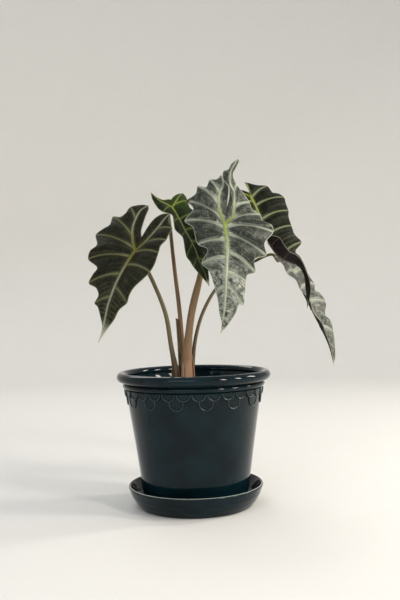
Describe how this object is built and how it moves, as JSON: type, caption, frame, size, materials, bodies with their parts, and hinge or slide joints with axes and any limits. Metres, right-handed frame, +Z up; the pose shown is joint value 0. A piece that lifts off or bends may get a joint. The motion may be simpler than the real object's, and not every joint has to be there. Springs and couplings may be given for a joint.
{
  "type": "potted alocasia",
  "caption": "Small houseplant with drooping arrow-shaped, pale-veined leaves on thin stalks, growing in a round glazed pot that stands on its saucer.",
  "frame": {"origin": "centre of the saucer's flat underside, where the object stands", "axes": "+Z up, along the pot's axis; -Y is the front, from where the largest leaf faces the viewer; +X to the viewer's right"},
  "size_m": [0.3019, 0.18, 0.3959],
  "materials": {
    "pot_glaze": "mirror-glossy dark petrol green glaze, lighter where it runs thin over the relief",
    "saucer_glaze": "the pot's glaze, breaking to pale cream on the thin rim",
    "potting_mix": "dark crumbly peat and bark with a few pale grains",
    "corm": "rough brown fibrous skin",
    "petiole_brown": "smooth pinkish-brown leaf stalk with faint mottling",
    "petiole_olive": "smooth olive-green leaf stalk",
    "sheath": "dry, ribbed, papery",
    "blade_dark": "dark olive-green, satin, with pale green veins and purple underside",
    "blade_green": "deep green, satin, with yellow-green veins and purple underside",
    "blade_silver": "grey-green with a silvery sheen, cream veins and edge, purple underside"
  },
  "bodies": {
    "root": {"saucer": "saucer_glaze", "pot": "pot_glaze", "potting_mix": "potting_mix", "corm": "corm", "petiole_left": "petiole_olive", "petiole_inner": "petiole_brown", "petiole_front": "petiole_brown", "petiole_back": "petiole_olive", "petiole_right": "petiole_olive", "sheath_leaf": "sheath", "blade_left": "blade_dark", "blade_inner": "blade_green", "blade_front": "blade_silver", "blade_back": "blade_dark", "blade_right": "blade_silver"}
  },
  "joints": []
}
